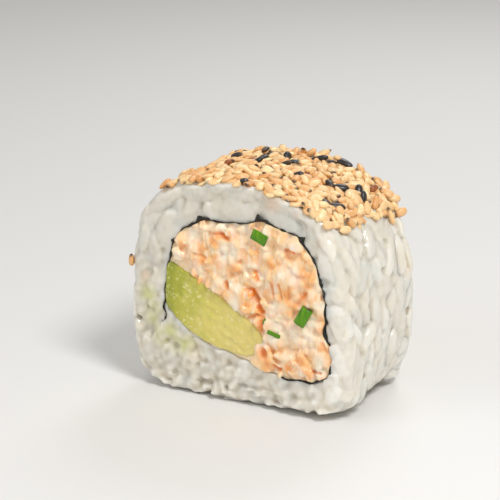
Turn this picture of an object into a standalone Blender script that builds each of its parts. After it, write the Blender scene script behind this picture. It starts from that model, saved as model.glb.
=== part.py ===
"""One cut piece of uramaki, the inside-out sushi roll, resting on its flattened underside.

The roll's axis is +Y and the two cut faces are at -Y and +Y. Four solids run the whole length:
the rice outside, the sheet of nori inside it, and the salmon filling and the avocado inside that.
The origin is at the middle of the underside. Metres, +Z up.
"""

import math
import random

import bmesh
import bpy
from mathutils import Matrix, Vector

MM = 0.001

# Driving dimensions
ROLL_WIDTH = 45.3 * MM
ROLL_HEIGHT = 42.2 * MM
ROLL_LENGTH = 26.0 * MM
NORI_THICKNESS = 0.4 * MM
CLEARANCE = 0.3 * MM  # between neighbouring solids

# Outer shape of the rice: a superellipse, round above and nearly square where it was pressed flat
TOP_ROUNDNESS = 2.43
BASE_ROUNDNESS = 5.0
BASE_SINK = 0.35 * MM  # how far the outline is pressed into the table to make the flat underside
BASE_FADE = 5.0 * MM  # grains stand out fully only above this height
CUT_EDGE_RADIUS = 2.2 * MM
SEGMENTS = 132
RINGS_ALONG = 11

# Grains that stand out of the rice
GRAIN_LENGTH = 6.5 * MM
GRAIN_WIDTH = 2.9 * MM
GRAIN_RELIEF = 0.75 * MM
GRAIN_COUNT = 330
GRAIN_SEED = 7

# The nori's route over the cut face, from its loose end on the left, over the filling and back
# under the avocado, as (x, z) in millimetres. It stays open where the avocado meets the rice.
NORI_ROUTE = (
    (-15.5, 12.0), (-15.5, 17.0), (-14.6, 22.5), (-13.6, 27.5), (-11.0, 31.2),
    (-6.0, 33.6), (0.0, 33.9), (5.5, 35.0), (12.5, 33.2), (16.4, 28.5),
    (18.3, 21.5), (18.2, 16.6), (19.8, 12.2), (18.2, 8.0), (12.5, 6.5),
    (5.5, 7.3), (0.0, 8.9), (-5.0, 9.6), (-9.8, 11.3),
)
NORI_STEPS = 7  # straight steps between two points of the route
SCALLOP_DEPTH = 0.4 * MM  # how far grains press the nori in between two creases
SCALLOPS = 21

# The avocado's cut face as (x, z) in millimetres, clockwise from its thin upper end
AVOCADO_OUTLINE = (
    (-13.5, 24.2), (-9.2, 22.6), (-1.5, 18.5), (4.2, 14.8), (5.2, 12.6), (3.4, 9.9),
    (0.0, 10.1), (-5.0, 10.7), (-9.5, 12.3), (-13.4, 15.2), (-14.4, 17.6), (-13.9, 21.0),
)
AVOCADO_STEPS = 5
AVOCADO_TOP_POINTS = 5  # how many of these, from the first, make its upper side

# The rough face of the salmon, on both cut faces
SALMON_VOXEL = 1.5 * MM
SALMON_LUMP = 4.5 * MM
SALMON_RELIEF = 0.35 * MM

CUTTER_LENGTH = ROLL_LENGTH * 1.5


# ---------------------------------------------------------------- outlines on the cut face


def smooth_line(points, steps, closed):
    """Points along a Catmull-Rom curve through the given (x, z) points."""
    line = []
    count = len(points)
    for i in range(count if closed else count - 1):
        if closed:
            near = [points[(i + k) % count] for k in (-1, 0, 1, 2)]
        else:
            near = [points[min(max(i + k, 0), count - 1)] for k in (-1, 0, 1, 2)]
        before, start, end, after = (Vector(p) for p in near)
        for step in range(steps):
            t = step / steps
            line.append(0.5 * (2 * start + (end - before) * t
                               + (2 * before - 5 * start + 4 * end - after) * t ** 2
                               + (3 * start - before - 3 * end + after) * t ** 3))
    if not closed:
        line.append(Vector(points[-1]))
    return [p * MM for p in line]


def outward_normals(line, closed):
    """The unit normals of a clockwise line, on its outer side."""
    normals = []
    for i in range(len(line)):
        if closed:
            along = line[(i + 1) % len(line)] - line[i - 1]
        else:
            along = line[min(i + 1, len(line) - 1)] - line[max(i - 1, 0)]
        normals.append(Vector((-along.y, along.x)).normalized())
    return normals


def moved_outward(line, distance, closed):
    return [p + n * distance for p, n in zip(line, outward_normals(line, closed))]


def scalloped_nori_line():
    """The nori's centre line, pressed in between creases by the grains that lie against it."""
    line = smooth_line(NORI_ROUTE, NORI_STEPS, closed=False)
    normals = outward_normals(line, closed=False)
    pressed = []
    for i, (point, normal) in enumerate(zip(line, normals)):
        share = i / (len(line) - 1)
        wave = abs(math.sin(math.pi * SCALLOPS * (share + 0.02 * math.sin(9 * share))))
        pressed.append(point - normal * SCALLOP_DEPTH * wave)
    return pressed


def rice_outline(angle):
    """The rice's outer (x, z) at an angle round the roll, before any grains stand out of it."""
    cos, sin = math.cos(angle), math.sin(angle)
    power = TOP_ROUNDNESS if sin > 0 else BASE_ROUNDNESS
    half_wide, half_high = ROLL_WIDTH / 2, ROLL_HEIGHT / 2
    radius = (abs(cos / half_wide) ** power + abs(sin / half_high) ** power) ** (-1 / power)
    return radius * cos, radius * sin + half_high - BASE_SINK


# ---------------------------------------------------------------- Blender helpers


def clear_scene():
    for item in list(bpy.data.objects):
        bpy.data.objects.remove(item)


def make_collection(name):
    made = bpy.data.collections.new(name)
    bpy.context.scene.collection.children.link(made)
    return made


def make_material(name, colour, roughness):
    material = bpy.data.materials.new(name)
    material.use_nodes = True
    shader = material.node_tree.nodes["Principled BSDF"]
    shader.inputs["Base Color"].default_value = (*colour, 1.0)
    shader.inputs["Roughness"].default_value = roughness
    shader.inputs["Metallic"].default_value = 0.0
    return material


def add_mesh(name, mesh, collection, material=None):
    made = bpy.data.objects.new(name, mesh)
    collection.objects.link(made)
    if material:
        made.data.materials.append(material)
    return made


def hide_as_cutter(cutter):
    cutter.hide_render = True
    cutter.display_type = "WIRE"
    return cutter


def extruded_outline(name, line, length, collection):
    """A closed solid: the (x, z) outline extruded along Y to the given length, centred on Y = 0."""
    curve = bpy.data.curves.new(name, "CURVE")
    curve.dimensions = "2D"
    curve.fill_mode = "BOTH"
    curve.extrude = length / 2
    spline = curve.splines.new("POLY")
    spline.points.add(len(line) - 1)
    for control, point in zip(spline.points, line):
        control.co = (point.x, point.y, 0, 1)
    spline.use_cyclic_u = True
    drawn = bpy.data.objects.new(name + "_curve", curve)
    collection.objects.link(drawn)
    drawn.rotation_euler = (math.radians(90), 0, 0)
    bpy.context.view_layer.update()
    graph = bpy.context.evaluated_depsgraph_get()
    mesh = bpy.data.meshes.new_from_object(drawn.evaluated_get(graph))
    mesh.transform(drawn.matrix_world)
    bpy.data.objects.remove(drawn)
    work = bmesh.new()
    work.from_mesh(mesh)
    bmesh.ops.remove_doubles(work, verts=work.verts, dist=0.001 * MM)
    bmesh.ops.recalc_face_normals(work, faces=work.faces)
    work.to_mesh(mesh)
    work.free()
    return add_mesh(name, mesh, collection)


def nori_strip(name, line, length, thickness, collection):
    """The line drawn out along Y as an open sheet, and thickened by Solidify."""
    work = bmesh.new()
    front = [work.verts.new((p.x, -length / 2, p.y)) for p in line]
    back = [work.verts.new((p.x, length / 2, p.y)) for p in line]
    for i in range(len(line) - 1):
        work.faces.new((front[i], front[i + 1], back[i + 1], back[i]))
    mesh = bpy.data.meshes.new(name)
    work.to_mesh(mesh)
    work.free()
    strip = add_mesh(name, mesh, collection)
    solidify = strip.modifiers.new("thickness", "SOLIDIFY")
    solidify.thickness = thickness
    solidify.offset = 0
    solidify.use_even_offset = True
    return strip


def cut(target, cutter, operation="DIFFERENCE"):
    boolean = target.modifiers.new(cutter.name, "BOOLEAN")
    boolean.operation = operation
    boolean.solver = "EXACT"
    boolean.object = cutter


# ---------------------------------------------------------------- the rice


def scatter_grains():
    """Seeded places of the outer grains: (way round the roll in metres, y, slant)."""
    rng = random.Random(GRAIN_SEED)
    girth = math.pi * (ROLL_WIDTH + ROLL_HEIGHT) / 2
    return [
        (rng.uniform(0, girth), rng.uniform(-0.5, 0.5) * ROLL_LENGTH, rng.gauss(0, 0.5))
        for _ in range(GRAIN_COUNT)
    ]


def grain_height(around, y, grains, girth):
    """How far the grain nearest to a spot of the outer surface lifts it, from 0 to 1."""
    highest = 0.0
    for place, grain_y, slant in grains:
        across = (around - place + girth / 2) % girth - girth / 2
        if abs(across) > GRAIN_LENGTH:
            continue
        along = y - grain_y
        u = across * math.cos(slant) + along * math.sin(slant)
        v = along * math.cos(slant) - across * math.sin(slant)
        inside = 1 - (2 * u / GRAIN_LENGTH) ** 2 - (2 * v / GRAIN_WIDTH) ** 2
        if inside > 0:
            highest = max(highest, math.sqrt(inside))
    return highest


def edge_inset(y):
    """How far the outline draws in near the cut faces, on a rounded edge."""
    past = max(0.0, abs(y) - (ROLL_LENGTH / 2 - CUT_EDGE_RADIUS))
    return CUT_EDGE_RADIUS - math.sqrt(max(0.0, CUT_EDGE_RADIUS ** 2 - past ** 2))


def ring_places():
    """Y of the rings between the cut faces: even along the side, closer on the rounded edges."""
    straight = ROLL_LENGTH / 2 - CUT_EDGE_RADIUS
    even = [straight * (2 * i / (RINGS_ALONG - 1) - 1) for i in range(RINGS_ALONG)]
    edge = [straight + CUT_EDGE_RADIUS * math.sin(math.radians(a)) for a in (30, 60)]
    return sorted(even + edge + [-y for y in edge])


def rice_mesh():
    """A cylinder along Y, ringed, pressed to the roll's outline, and lifted where grains stand out."""
    work = bmesh.new()
    bmesh.ops.create_cone(
        work, cap_ends=True, segments=SEGMENTS, radius1=1, radius2=1, depth=ROLL_LENGTH,
        matrix=Matrix.Rotation(math.radians(90), 4, "X"),
    )
    for y in ring_places():
        bmesh.ops.bisect_plane(
            work, geom=work.verts[:] + work.edges[:] + work.faces[:],
            plane_co=(0, y, 0), plane_no=(0, 1, 0), dist=0.001 * MM,
        )
    grains = scatter_grains()
    girth = math.pi * (ROLL_WIDTH + ROLL_HEIGHT) / 2
    centre = Vector((0, ROLL_HEIGHT / 2))
    for vert in work.verts:
        angle = math.atan2(vert.co.z, vert.co.x)
        y = vert.co.y
        outline = Vector(rice_outline(angle))
        outward = (outline - centre).normalized()
        around = (angle / (2 * math.pi) + 0.5) * girth
        raised = min(1.0, max(0.0, outline.y / BASE_FADE))
        lift = GRAIN_RELIEF * raised * (grain_height(around, y, grains, girth) - 1)
        spot = outline + outward * (lift - edge_inset(y))
        vert.co = (spot.x, y, spot.y)
    fit_to_size(work)
    mesh = bpy.data.meshes.new("rice")
    work.to_mesh(mesh)
    work.free()
    return mesh


def fit_to_size(work):
    """Brings the outline to the roll's exact width and height, and flattens the underside."""
    xs = [v.co.x for v in work.verts]
    zs = [v.co.z for v in work.verts]
    wide, high = max(xs) - min(xs), max(zs)
    middle = (max(xs) + min(xs)) / 2
    for vert in work.verts:
        vert.co.x = (vert.co.x - middle) * ROLL_WIDTH / wide
        vert.co.z = max(0.0, vert.co.z * ROLL_HEIGHT / high)


def make_rice(parts, cutters, nori_line, avocado_line):
    rice = add_mesh("rice", rice_mesh(), parts, make_material("rice", (0.86, 0.83, 0.76), 0.45))
    # The loose end of the nori, the first stretch of its line, lies in a slot of its own.
    bore = extruded_outline("bore_cutter", nori_line[NORI_STEPS:], CUTTER_LENGTH, cutters)
    slot = nori_strip("nori_slot_cutter", nori_line, CUTTER_LENGTH,
                      NORI_THICKNESS + 2 * CLEARANCE, cutters)
    wider = moved_outward(avocado_line, CLEARANCE, closed=True)
    beside = extruded_outline("avocado_cutter", wider, CUTTER_LENGTH, cutters)
    for cutter in (bore, slot, beside):
        cut(rice, hide_as_cutter(cutter))


# ---------------------------------------------------------------- the filling


def make_nori(parts, nori_line):
    nori = nori_strip("nori", nori_line, ROLL_LENGTH, NORI_THICKNESS, parts)
    nori.data.materials.append(make_material("nori", (0.012, 0.016, 0.010), 0.4))


def make_avocado(parts, avocado_line):
    avocado = extruded_outline("avocado", avocado_line, ROLL_LENGTH, parts)
    avocado.data.materials.append(make_material("avocado", (0.56, 0.58, 0.16), 0.4))


def lump(x, z):
    """The rough height of the chopped salmon at a spot of a cut face, from -1 to 1."""
    k = 2 * math.pi / SALMON_LUMP
    across = math.sin(k * x + 1.3 * math.sin(k * z / 2))
    upward = math.sin(k * z + 1.7 * math.sin(k * x / 3))
    return (across + upward) / 2


def lumpy_block(line, length, collection):
    """The outline extruded and remeshed into even faces, with both ends roughened."""
    block = extruded_outline("salmon", line, length, collection)
    remesh = block.modifiers.new("even_faces", "REMESH")
    remesh.mode = "VOXEL"
    remesh.voxel_size = SALMON_VOXEL
    graph = bpy.context.evaluated_depsgraph_get()
    mesh = bpy.data.meshes.new_from_object(block.evaluated_get(graph))
    block.modifiers.clear()
    block.data = mesh
    for vert in mesh.vertices:
        if abs(vert.co.y) > (length - SALMON_VOXEL) / 2:
            height = SALMON_RELIEF * lump(vert.co.x, vert.co.z)
            vert.co.y = math.copysign(length / 2 + height, vert.co.y)
    return block


def make_salmon(parts, cutters, nori_line, avocado_line):
    """Everything inside the nori that isn't avocado, with a lumpy face at both cuts."""
    salmon = lumpy_block(nori_line, ROLL_LENGTH - 2 * SALMON_RELIEF, parts)
    inner_line = moved_outward(nori_line, -NORI_THICKNESS / 2 - CLEARANCE, closed=False)
    inside = extruded_outline("salmon_trimmer", inner_line, CUTTER_LENGTH, cutters)
    cut(salmon, hide_as_cutter(inside), "INTERSECT")
    # The avocado's upper side, carried out past the roll, takes away all that lies below it.
    upper = moved_outward(avocado_line, CLEARANCE, closed=True)[:AVOCADO_STEPS * AVOCADO_TOP_POINTS]
    left, low = -ROLL_WIDTH / 2, 0.0
    region = [Vector((left, upper[0].y)), *upper, Vector((upper[-1].x, low)), Vector((left, low))]
    below = extruded_outline("salmon_cutter", region, CUTTER_LENGTH, cutters)
    cut(salmon, hide_as_cutter(below))
    salmon.data.materials.append(make_material("salmon", (0.88, 0.52, 0.33), 0.4))


def main():
    clear_scene()
    parts = make_collection("uramaki_roll")
    cutters = make_collection("cutters")
    nori_line = scalloped_nori_line()
    avocado_line = smooth_line(AVOCADO_OUTLINE, AVOCADO_STEPS, closed=True)
    make_rice(parts, cutters, nori_line, avocado_line)
    make_nori(parts, nori_line)
    make_avocado(parts, avocado_line)
    make_salmon(parts, cutters, nori_line, avocado_line)


main()
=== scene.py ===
"""Looks of one cut piece of uramaki, the inside-out sushi roll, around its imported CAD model.

The roll's axis is +Y, its shown cut face is at -Y, and it rests on z = 0. Shapes are worked out in
millimetres as numpy arrays and turned into metres when they become Blender meshes. A place on a
cut face is (x, z); a place on the outside is (degrees round the axis from +X, y).
"""

import math

import bpy
import numpy as np
from mathutils import Matrix, Vector
from mathutils.bvhtree import BVHTree
from mathutils.kdtree import KDTree


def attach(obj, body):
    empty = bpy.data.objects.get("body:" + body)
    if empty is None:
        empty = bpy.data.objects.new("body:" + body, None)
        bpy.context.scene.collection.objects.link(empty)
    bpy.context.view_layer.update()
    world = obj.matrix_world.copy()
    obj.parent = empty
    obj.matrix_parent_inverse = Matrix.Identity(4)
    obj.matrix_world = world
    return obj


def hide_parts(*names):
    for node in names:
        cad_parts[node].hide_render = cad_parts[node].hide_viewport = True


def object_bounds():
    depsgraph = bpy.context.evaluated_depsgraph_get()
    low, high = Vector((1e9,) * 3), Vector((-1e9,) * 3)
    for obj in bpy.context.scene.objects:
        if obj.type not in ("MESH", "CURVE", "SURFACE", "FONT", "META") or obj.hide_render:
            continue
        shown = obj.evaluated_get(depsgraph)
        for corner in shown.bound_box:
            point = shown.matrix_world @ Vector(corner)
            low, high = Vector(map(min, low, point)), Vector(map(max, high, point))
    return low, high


MM = 0.001

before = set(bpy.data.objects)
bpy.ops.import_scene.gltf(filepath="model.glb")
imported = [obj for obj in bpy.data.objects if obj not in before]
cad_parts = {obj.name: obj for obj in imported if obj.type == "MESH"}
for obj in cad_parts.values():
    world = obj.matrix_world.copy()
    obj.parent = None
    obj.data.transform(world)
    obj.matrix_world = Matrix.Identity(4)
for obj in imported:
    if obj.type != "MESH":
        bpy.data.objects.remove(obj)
CAD_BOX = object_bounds()
WIDTH, LENGTH, HEIGHT = (np.array(CAD_BOX[1]) - np.array(CAD_BOX[0])) / MM
CUT = LENGTH / 2  # the cut faces are at y = -CUT and y = CUT
AXIS_HEIGHT = HEIGHT / 2

# --- sizes, in millimetres

# The outline of the rice: a superellipse, round above and nearly square where it was pressed flat
TOP_ROUNDNESS = 2.43
BASE_ROUNDNESS = 5.0
BASE_SINK = 0.35

# Rice
GRAIN_SIZE = (6.6, 3.0, 2.4)  # length, width, thickness
SIDE_LIMIT, SIDE_SPACING = 700, (3.7, 1.9)  # the most grains; the least distances between them,
FACE_LIMIT, FACE_SPACING = 260, (3.0, 1.7)  # along and across a grain
CORE_DEPTH = 1.0  # the core lies this far under the grains' outer surface
LIP_DEPTH = 0.35  # and this far along the nori
RICE_VOXEL = 0.32  # the cells in which the grains are melted together
FACE_STAND, SIDE_STAND = 0.4, 1.3  # the most that grains stand out of the cut faces and the sides
SEED_BED_DEPTH = 1.3  # how far the rice is pressed in under the sesame
CUT_EDGE_RADIUS = 2.4
HIDDEN_SHARE = 0.1  # the share of its faces that a hidden stretch of skin keeps

SALMON_VOXEL = 0.22

# The nori's route over the cut face, from its loose end on the left, over the filling and back
# under the avocado
NORI_ROUTE = (
    (-15.3, 13.4), (-15.4, 17.0), (-14.6, 22.5), (-13.6, 27.5), (-11.0, 31.2),
    (-6.0, 33.6), (0.0, 33.9), (5.5, 35.0), (12.5, 33.2), (16.4, 28.5),
    (18.3, 21.5), (18.2, 16.6), (19.8, 12.2), (18.2, 8.0), (12.5, 6.5),
    (5.5, 7.3), (0.0, 8.9), (-5.0, 9.6), (-9.8, 11.3),
)
NORI_STEPS = 7
SCALLOPS, SCALLOP_DEPTH = 21, 0.4  # the grains that press into the nori, and how far

# The avocado's cut face, clockwise from its thin upper end
AVOCADO_OUTLINE = (
    (-14.2, 24.4), (-9.2, 22.6), (-1.5, 18.6), (4.3, 15.0), (5.6, 12.9), (3.5, 9.7),
    (0.0, 9.4), (-5.0, 10.2), (-9.5, 11.9), (-13.6, 14.8), (-15.0, 17.4), (-14.7, 21.0),
)
AVOCADO_STEPS = 6
AVOCADO_SLANT = math.radians(30)  # how far the wedge dips towards +X


def linear(*srgb):
    """A colour written in 0 to 255 sRGB, as the linear values that shaders take."""
    parts = [c / 255 for c in srgb]
    return tuple(c / 12.92 if c <= 0.04045 else ((c + 0.055) / 1.055) ** 2.4 for c in parts)


# --- flat outlines


def smooth_line(points, steps, closed=False):
    """Points along a Catmull-Rom curve through the given (x, z) points."""
    p = np.array(points, float)
    p = np.vstack([p[-1:], p, p[:2]]) if closed else np.vstack([p[:1], p, p[-1:]])
    before, start, end, after = (p[k:len(p) - 3 + k] for k in range(4))
    t = (np.arange(steps) / steps)[:, None, None]
    line = 0.5 * (2 * start + (end - before) * t
                  + (2 * before - 5 * start + 4 * end - after) * t ** 2
                  + (3 * start - before - 3 * end + after) * t ** 3)
    line = line.transpose(1, 0, 2).reshape(-1, 2)
    return line if closed else np.vstack([line, p[-1:]])


def outward(line):
    """Unit normals of a clockwise open line, on its outer side."""
    along = np.gradient(line, axis=0)
    normal = np.stack([-along[:, 1], along[:, 0]], 1)
    return normal / np.linalg.norm(normal, axis=1, keepdims=True)


def nori_centre_line():
    """The nori's centre line, pressed in between creases by the grains that lie against it."""
    line = smooth_line(NORI_ROUTE, NORI_STEPS)
    share = np.arange(len(line)) / (len(line) - 1)
    wave = np.abs(np.sin(np.pi * SCALLOPS * (share + 0.02 * np.sin(9 * share))))
    return line - outward(line) * SCALLOP_DEPTH * wave[:, None]


def line_distance(points, line, closed=False):
    """The distance of each (x, z) point to a line."""
    points = np.atleast_2d(points)
    ends = np.roll(line, -1, axis=0) if closed else line[1:]
    starts = line if closed else line[:-1]
    step = ends - starts
    found = []
    for some in np.array_split(points, len(points) // 20000 + 1):
        to = some[:, None] - starts
        share = np.clip((to * step).sum(2) / (step ** 2).sum(1), 0, 1)
        found.append(np.linalg.norm(to - share[..., None] * step, axis=2).min(1))
    return np.concatenate(found)


def inside(points, outline):
    """Whether each (x, z) point lies in a closed outline, by counting crossings."""
    points = np.atleast_2d(points)
    x, z = points[:, 0, None], points[:, 1, None]
    x0, z0 = outline.T
    x1, z1 = np.roll(outline, -1, axis=0).T
    spans = (z0 > z) != (z1 > z)
    level = np.where(z1 == z0, 1, z1 - z0)
    return (spans & (x < x0 + (z - z0) / level * (x1 - x0))).sum(1) % 2 == 1


def depth_inside(points, outline):
    """How deep each point lies in a closed outline, negative outside it."""
    return line_distance(points, outline, closed=True) * np.where(inside(points, outline), 1, -1)


NORI_LINE = nori_centre_line()
NORI_FINE = smooth_line(NORI_LINE, 4)
FILLING = NORI_LINE[NORI_STEPS:]  # closed across the gap under the avocado; the tail is left out
SHOWING_NORI = NORI_LINE[:16 * NORI_STEPS]  # the rest is pressed under the avocado, out of sight
AVOCADO = smooth_line(AVOCADO_OUTLINE, AVOCADO_STEPS, closed=True)


def roll_outline(angle):
    """The (x, z) of the rice's outline at angles round the axis, in radians."""
    cos, sin = np.cos(angle), np.sin(angle)
    power = np.where(sin > 0, TOP_ROUNDNESS, BASE_ROUNDNESS)
    radius = (np.abs(cos / (WIDTH / 2)) ** power + np.abs(sin / AXIS_HEIGHT) ** power) ** (-1 / power)
    return np.stack([radius * cos, radius * sin + AXIS_HEIGHT - BASE_SINK], -1)


OUTLINE_ANGLES = np.linspace(0, 2 * np.pi, 721)
OUTLINE = roll_outline(OUTLINE_ANGLES)
OUTLINE_WAY = np.concatenate([[0], np.cumsum(np.linalg.norm(np.diff(OUTLINE, axis=0), axis=1))])
GIRTH = OUTLINE_WAY[-1]


def on_outline(way):
    """The (x, z) and outward normal of the outline, a way round it in millimetres."""
    angle = np.interp(np.mod(way, GIRTH), OUTLINE_WAY, OUTLINE_ANGLES)
    place = roll_outline(angle)
    along = roll_outline(angle + 0.01) - roll_outline(angle - 0.01)
    along /= np.linalg.norm(along, axis=-1, keepdims=True)
    return place, np.stack([along[..., 1], -along[..., 0]], -1)


def way_of(degrees):
    return np.interp(np.radians(degrees), OUTLINE_ANGLES, OUTLINE_WAY)


# --- small repeated forms


def wobble(points, size, seed, waves=6):
    """Smooth seeded unevenness from about -1 to 1, with bumps about size across."""
    rng = np.random.default_rng(seed)
    total = np.zeros(len(points))
    for _ in range(waves):
        way = rng.normal(size=points.shape[1])
        way *= np.pi / size * rng.uniform(0.7, 1.5) / np.linalg.norm(way)
        total += np.sin(points @ way + rng.uniform(0, 2 * np.pi))
    return total / math.sqrt(waves * 1.2)


def turned_form(profile, rings, around):
    """A closed form along X, from -0.5 to 0.5. The profile gives its radius as a share of 0.5
    at places from -1 to 1."""
    t = -np.cos(np.pi * np.arange(1, rings + 1) / (rings + 1))
    turn = 2 * np.pi * np.arange(around) / around
    radius = 0.5 * profile(t)[:, None]
    body = np.stack([np.broadcast_to(t[:, None] / 2, (rings, around)),
                     radius * np.cos(turn), radius * np.sin(turn)], -1).reshape(-1, 3)
    verts = np.vstack([body, [[-0.5, 0, 0], [0.5, 0, 0]]])
    near, far = len(body), len(body) + 1
    faces = []
    for i in range(around):
        j = (i + 1) % around
        faces.append((near, j, i))
        last = (rings - 1) * around
        faces.append((far, last + i, last + j))
        for r in range(rings - 1):
            a, b = r * around, (r + 1) * around
            faces.append((a + i, a + j, b + j, b + i))
    return verts, faces


def grain_form(rings, around):
    """A cooked rice grain: fat, with blunt ends."""
    return turned_form(lambda t: (1 - np.abs(t) ** 2.7) ** 0.55, rings, around)


def seed_form(rings, around):
    """A sesame seed: a teardrop, round at +X and drawn to a tip at -X."""
    return turned_form(lambda t: (1 - np.abs(t) ** 2.3) ** 0.5 * (0.84 + 0.20 * t), rings, around)


def frames_on(normal, along):
    """Rotation matrices whose X runs along a direction and whose Z is the normal, as near as can be."""
    x = along / np.linalg.norm(along, axis=1, keepdims=True)
    y = np.cross(normal, x)
    y /= np.linalg.norm(y, axis=1, keepdims=True)
    return np.stack([x, y, np.cross(x, y)], -1)


def scattered(form, sizes, bends, frames, places):
    """All copies of a form as one list of vertices and faces. bends are shares of the length."""
    verts, faces = form
    local = verts[None] * sizes[:, None]
    bow = (2 * verts[None, :, 0]) ** 2 * (bends * sizes[:, 0])[:, None]
    local[:, :, 1] += bow
    world = np.einsum("nij,nvj->nvi", frames, local) + places[:, None]
    every = []
    for i in range(len(places)):
        every += [tuple(v + i * len(verts) for v in face) for face in faces]
    return world.reshape(-1, 3), every


def spread(rng, draw, count, spacing, wrap=None, first=()):
    """Keeps up to count of the drawn (u, v, turn) that stay spacing apart, measured along and
    across each kept one. u wraps round at wrap."""
    kept = list(first)
    for _ in range(count * 30):
        if len(kept) >= count + len(first):
            break
        spot = draw(rng)
        if spot is None:
            continue
        if kept:
            others = np.array(kept)
            away = others[:, :2] - np.array(spot[:2])
            if wrap:
                away[:, 0] = (away[:, 0] + wrap / 2) % wrap - wrap / 2
            cos, sin = np.cos(others[:, 2]), np.sin(others[:, 2])
            lengthways = (away[:, 0] * cos + away[:, 1] * sin) / spacing[0]
            crossways = (away[:, 1] * cos - away[:, 0] * sin) / spacing[1]
            if (lengthways ** 2 + crossways ** 2).min() < 1:
                continue
        kept.append(spot)
    return np.array(kept[len(first):])


# --- meshes


def placed(name, data):
    """A new object in the scene."""
    made = bpy.data.objects.new(name, data)
    bpy.context.scene.collection.objects.link(made)
    return made


def joined(parts):
    """Several (vertices, faces) as one."""
    verts, faces, start = [], [], 0
    for some_verts, some_faces in parts:
        verts.append(some_verts)
        faces += [tuple(i + start for i in face) for face in some_faces]
        start += len(some_verts)
    return np.vstack(verts), faces


def mesh_object(name, verts, faces, material, **attributes):
    """A smooth-shaded object from millimetre vertices, with one float attribute for each keyword."""
    mesh = bpy.data.meshes.new(name)
    mesh.from_pydata(verts * MM, [], faces)
    mesh.update()
    mesh.polygons.foreach_set("use_smooth", np.ones(len(mesh.polygons), bool))
    for key, values in attributes.items():
        layer = mesh.attributes.new(key, "FLOAT", "POINT")
        layer.data.foreach_set("value", np.asarray(values, np.float32))
    mesh.materials.append(material)
    return placed(name, mesh)


def read_mesh(mesh):
    """A mesh's vertices in millimetres, its edges and its faces."""
    verts = np.zeros(len(mesh.vertices) * 3)
    mesh.vertices.foreach_get("co", verts)
    edges = np.zeros(len(mesh.edges) * 2, int)
    mesh.edges.foreach_get("vertices", edges)
    return verts.reshape(-1, 3) / MM, edges.reshape(-1, 2), [tuple(p.vertices) for p in mesh.polygons]


def fused(parts, voxel, hidden):
    """One skin round all the (vertices, faces) parts, thinned out where hidden(vertices) is true."""
    verts, faces = joined(parts)
    mesh = bpy.data.meshes.new("fusing")
    mesh.from_pydata(verts * MM, [], faces)
    work = placed("fusing", mesh)
    remesh = work.modifiers.new("skin", "REMESH")
    remesh.mode = "VOXEL"
    remesh.voxel_size = voxel * MM
    work.data = applied(work)
    weight = hidden(read_mesh(work.data)[0])
    group = work.vertex_groups.new(name="hidden")
    group.add(np.nonzero(weight)[0].tolist(), 1.0, "REPLACE")
    thin = work.modifiers.new("thin", "DECIMATE")
    thin.vertex_group = "hidden"
    thin.ratio = 1 - weight.mean() * (1 - HIDDEN_SHARE)
    work.data = applied(work)
    result = read_mesh(work.data)
    bpy.data.objects.remove(work)
    return result


def applied(work):
    """The object's mesh with its modifiers applied; the modifiers are removed."""
    graph = bpy.context.evaluated_depsgraph_get()
    mesh = bpy.data.meshes.new_from_object(work.evaluated_get(graph))
    work.modifiers.clear()
    return mesh


def relaxed(verts, edges, rounds):
    """Vertices, or other rows of values, moved towards the mean of their neighbours."""
    ends = np.concatenate([edges[:, 0], edges[:, 1]])
    others = np.concatenate([edges[:, 1], edges[:, 0]])
    count = np.maximum(np.bincount(ends, minlength=len(verts)), 1)
    verts = verts.copy()
    for _ in range(rounds):
        for axis in range(verts.shape[1]):
            mean = np.bincount(ends, weights=verts[others, axis], minlength=len(verts)) / count
            verts[:, axis] += 0.5 * (mean - verts[:, axis])
    return verts


def vertex_normals(verts, faces):
    mesh = bpy.data.meshes.new("normals")
    mesh.from_pydata(verts * MM, [], faces)
    normals = np.zeros(len(verts) * 3)
    mesh.vertices.foreach_get("normal", normals)
    bpy.data.meshes.remove(mesh)
    return normals.reshape(-1, 3)


# Used as the mask for painted shade in the rice's hollows, and partly in the salmon's
def hollows(verts, edges, faces, rounds, full):
    """From 0 on a bump to 1 in a hollow that is full millimetres deep; 0.5 where it is even."""
    below = ((relaxed(verts, edges, rounds) - verts) * vertex_normals(verts, faces)).sum(1)
    return np.clip(0.5 + 0.5 * below / full, 0, 1)


def soft_limit(value, start, limit):
    """Values past start are squeezed so that they only ever near the limit."""
    room = limit - start
    over = np.maximum(value - start, 0)
    return np.where(value > start, start + room * over / (over + room), value)


# --- shader helpers


def material(name, **settings):
    """A new node material and its shader, with plain values set on the shader's sockets."""
    made = bpy.data.materials.new(name)
    made.use_nodes = True
    shader = made.node_tree.nodes["Principled BSDF"]
    for key, value in settings.items():
        shader.inputs[key.replace("_", " ")].default_value = value
    return made, made.node_tree, shader


def add_node(tree, kind, inputs=(), **settings):
    """A node with its settings, and its inputs set to values or linked to sockets."""
    node = tree.nodes.new(kind)
    for key, value in settings.items():
        setattr(node, key, value)
    for key, value in dict(inputs).items():
        if isinstance(value, bpy.types.NodeSocket):
            tree.links.new(value, node.inputs[key])
        else:
            node.inputs[key].default_value = value
    return node


def attribute(tree, name):
    return add_node(tree, "ShaderNodeAttribute", attribute_name=name).outputs["Fac"]


def noise(tree, scale, detail=3.0, distortion=0.0, stretch=(1, 1, 1), slant=0.0):
    """Noise over the object's own coordinates; scale counts bumps to the millimetre, stretch
    multiplies it along each axis, and slant first turns the axes round Y."""
    place = add_node(tree, "ShaderNodeTexCoord").outputs["Object"]
    if slant:
        place = add_node(tree, "ShaderNodeMapping", {
            "Vector": place, "Rotation": (0, -slant, 0),
        }).outputs[0]
    if stretch != (1, 1, 1):
        place = add_node(tree, "ShaderNodeMapping", {"Vector": place, "Scale": stretch}).outputs[0]
    found = add_node(tree, "ShaderNodeTexNoise", {
        "Vector": place, "Scale": scale / MM, "Detail": detail, "Distortion": distortion,
    })
    return found.outputs["Fac"]


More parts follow.
